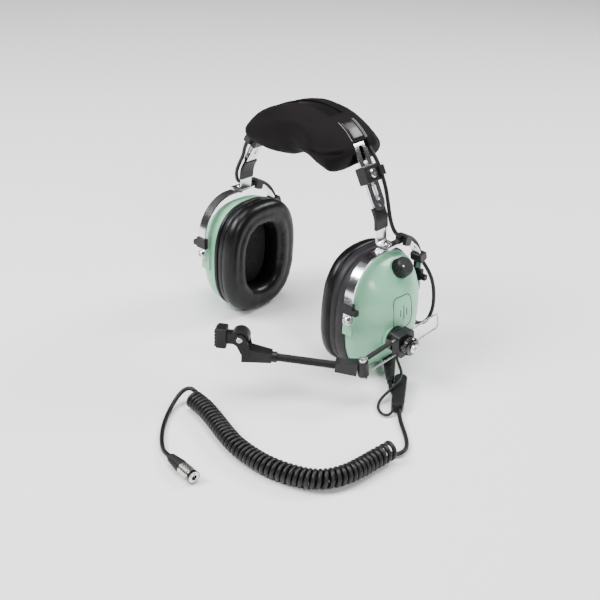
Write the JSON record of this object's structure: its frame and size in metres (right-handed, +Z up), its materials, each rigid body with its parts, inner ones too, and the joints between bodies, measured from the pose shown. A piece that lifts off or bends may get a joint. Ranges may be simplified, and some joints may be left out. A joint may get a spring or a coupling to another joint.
{
  "type": "aviation headset",
  "caption": "Pilot's headset with padded slotted headband, hard ear cups in steel stirrups, wire microphone boom and a curly cord with a round plug.",
  "frame": {"origin": "on the ground, below the middle of the headset's box taken without its free cords", "axes": "+Z up with the headset standing on its cups, +X to the wearer's left (boom side), -Y to the front"},
  "size_m": [0.2932, 0.2858, 0.2077],
  "materials": {
    "baffle_plate_left": "moulded black plate",
    "baffle_plate_right": "moulded black plate",
    "boom_guide": "moulded black block",
    "boom_screws": "bright plated screws",
    "boom_wires": "bright steel wire",
    "cable_gland_left": "moulded black rubber",
    "cable_gland_right": "moulded black rubber",
    "cable_left_band": "black jacketed cable",
    "cable_left_cup": "black jacketed cable",
    "cable_left_yoke": "black jacketed cable",
    "cable_right_band": "black jacketed cable",
    "cable_right_cup": "black jacketed cable",
    "cable_right_yoke": "black jacketed cable",
    "clamp_knob": "moulded black round knob",
    "clamp_knob_screw": "bright plated screw",
    "coil_cord": "black curly cord",
    "coil_lead": "black jacketed cord",
    "dome_left": "satin sage-green moulded shell",
    "dome_nuts": "plated nuts",
    "dome_right": "satin sage-green moulded shell",
    "ear_foam_left": "fine open-cell foam",
    "ear_foam_right": "fine open-cell foam",
    "ear_seal_left": "glossy black vinyl cushion",
    "ear_seal_right": "glossy black vinyl cushion",
    "flex_block": "moulded black block",
    "gooseneck": "ribbed black flexible tube",
    "head_pad": "black leather-look cushion cover",
    "headband_spring": "polished slotted spring-steel band",
    "headband_trim": "glossy black strip",
    "junction_block": "moulded black block",
    "lead_sleeve": "black tubing",
    "main_lead": "black jacketed cord",
    "mic_bracket": "moulded black bracket",
    "mic_capsule": "metal can",
    "mic_head": "moulded black case",
    "mic_lead": "black jacketed cord",
    "pivot_screws_left": "bright plated screws",
    "pivot_screws_right": "bright plated screws",
    "plug_boot": "ribbed black rubber boot",
    "plug_contact": "plated contact tube",
    "plug_ring": "black insulating ring",
    "plug_shell": "plated plug body",
    "plug_sleeve": "plated sliding sleeve",
    "speaker_left": "speaker basket and magnet",
    "speaker_right": "speaker basket and magnet",
    "stirrup_clips_left": "moulded black clips",
    "stirrup_clips_right": "moulded black clips",
    "stirrup_left": "polished flat steel bow",
    "stirrup_right": "polished flat steel bow",
    "strain_relief": "ribbed black rubber",
    "strap_fasteners_left": "bright rivet and clamp screw",
    "strap_fasteners_right": "bright rivet and clamp screw",
    "strap_fittings_left": "moulded black block and sleeve",
    "strap_fittings_right": "moulded black block and sleeve",
    "strap_left": "polished flat steel strap",
    "strap_right": "polished flat steel strap",
    "swivel_base": "moulded black disc",
    "tail_cord": "black jacketed cord",
    "volume_knob": "black knob with a white dot",
    "volume_pot": "plated control body"
  },
  "bodies": {
    "left_cup": {"dome_left": "dome_left", "baffle_plate_left": "baffle_plate_left", "speaker_left": "speaker_left", "ear_foam_left": "ear_foam_left", "ear_seal_left": "ear_seal_left", "pivot_screws_left": "pivot_screws_left", "cable_gland_left": "cable_gland_left", "volume_pot": "volume_pot", "dome_nuts": "dome_nuts", "swivel_base": "swivel_base", "strain_relief": "strain_relief", "main_lead": "main_lead", "junction_block": "junction_block", "mic_lead": "mic_lead", "coil_lead": "coil_lead", "coil_cord": "coil_cord", "tail_cord": "tail_cord", "plug_boot": "plug_boot", "plug_shell": "plug_shell", "plug_ring": "plug_ring", "plug_contact": "plug_contact"},
    "left_stirrup": {"stirrup_left": "stirrup_left", "stirrup_clips_left": "stirrup_clips_left", "cable_left_cup": "cable_left_cup"},
    "left_strap": {"strap_left": "strap_left", "strap_fittings_left": "strap_fittings_left", "strap_fasteners_left": "strap_fasteners_left", "cable_left_yoke": "cable_left_yoke"},
    "headband": {"headband_spring": "headband_spring", "headband_trim": "headband_trim", "head_pad": "head_pad", "cable_left_band": "cable_left_band", "cable_right_band": "cable_right_band"},
    "right_strap": {"strap_right": "strap_right", "strap_fittings_right": "strap_fittings_right", "strap_fasteners_right": "strap_fasteners_right", "cable_right_yoke": "cable_right_yoke"},
    "right_stirrup": {"stirrup_right": "stirrup_right", "stirrup_clips_right": "stirrup_clips_right", "cable_right_cup": "cable_right_cup"},
    "right_cup": {"dome_right": "dome_right", "baffle_plate_right": "baffle_plate_right", "speaker_right": "speaker_right", "ear_foam_right": "ear_foam_right", "ear_seal_right": "ear_seal_right", "pivot_screws_right": "pivot_screws_right", "cable_gland_right": "cable_gland_right"},
    "boom_guide": {"boom_guide": "boom_guide"},
    "boom_wires": {"boom_wires": "boom_wires", "lead_sleeve": "lead_sleeve"},
    "flex_end": {"flex_block": "flex_block", "boom_screws": "boom_screws", "gooseneck": "gooseneck", "mic_bracket": "mic_bracket"},
    "microphone": {"mic_head": "mic_head", "mic_capsule": "mic_capsule"},
    "clamp_knob": {"clamp_knob": "clamp_knob", "clamp_knob_screw": "clamp_knob_screw"},
    "volume_knob": {"volume_knob": "volume_knob"},
    "plug_sleeve": {"plug_sleeve": "plug_sleeve"}
  },
  "joints": [
    {"name": "left_tilt", "type": "hinge", "parent": "left_cup", "child": "left_stirrup", "pos_m": [0.07418, 0.03477, 0.06009], "axis": [0, 1, 0], "range_deg": [-12, 8], "deforming": ["cable_left_cup"]},
    {"name": "left_swivel", "type": "hinge", "parent": "left_stirrup", "child": "left_strap", "pos_m": [0.07418, 0.03477, 0.11209], "axis": [0, 0, 1], "range_deg": [-10, 10], "deforming": ["cable_left_yoke"]},
    {"name": "left_slide", "type": "slide", "parent": "left_strap", "child": "headband", "axis": [-0.4848, 0, 0.8746], "range_m": [-0.01, 0.014], "deforming": ["cable_left_band"]},
    {"name": "right_slide", "type": "slide", "parent": "headband", "child": "right_strap", "axis": [-0.4848, 0, -0.8746], "range_m": [-0.01, 0.014], "deforming": ["cable_right_band"]},
    {"name": "right_swivel", "type": "hinge", "parent": "right_strap", "child": "right_stirrup", "pos_m": [-0.09522, 0.03477, 0.11209], "axis": [0, 0, 1], "range_deg": [-10, 10], "deforming": ["cable_right_yoke"]},
    {"name": "right_tilt", "type": "hinge", "parent": "right_stirrup", "child": "right_cup", "pos_m": [-0.09522, 0.03477, 0.06009], "axis": [0, 1, 0], "range_deg": [-12, 12], "deforming": ["cable_right_cup"]},
    {"name": "boom_swivel", "type": "hinge", "parent": "left_cup", "child": "boom_guide", "pos_m": [0.10773, 0.0208, 0.04109], "axis": [-0.9945, 0.1045, 0], "range_deg": [-5, 60]},
    {"name": "boom_slide", "type": "slide", "parent": "boom_guide", "child": "boom_wires", "axis": [-0.1032, -0.9823, -0.1564], "range_m": [-0.004, 0.02]},
    {"name": "boom_hinge", "type": "hinge", "parent": "boom_wires", "child": "flex_end", "pos_m": [0.103, -0.02419, 0.03392], "axis": [-0.0164, -0.1556, 0.9877], "range_deg": [-25, 60]},
    {"name": "mic_tilt", "type": "hinge", "parent": "flex_end", "child": "microphone", "pos_m": [0.02328, -0.07993, 0.05209], "axis": [-0.571, 0.821, 0], "range_deg": [-30, 40]},
    {"name": "clamp_turn", "type": "hinge", "parent": "left_cup", "child": "clamp_knob", "pos_m": [0.11539, 0.01999, 0.04109], "axis": [0.9945, -0.1045, 0], "continuous": true},
    {"name": "volume_turn", "type": "hinge", "parent": "left_cup", "child": "volume_knob", "pos_m": [0.08548, 0.03777, 0.09349], "axis": [0.753, 0, 0.658], "range_deg": [-140, 140]},
    {"name": "plug_slide", "type": "slide", "parent": "left_cup", "child": "plug_sleeve", "axis": [0.9915, -0.13, 0], "range_m": [0, 0.002]}
  ]
}
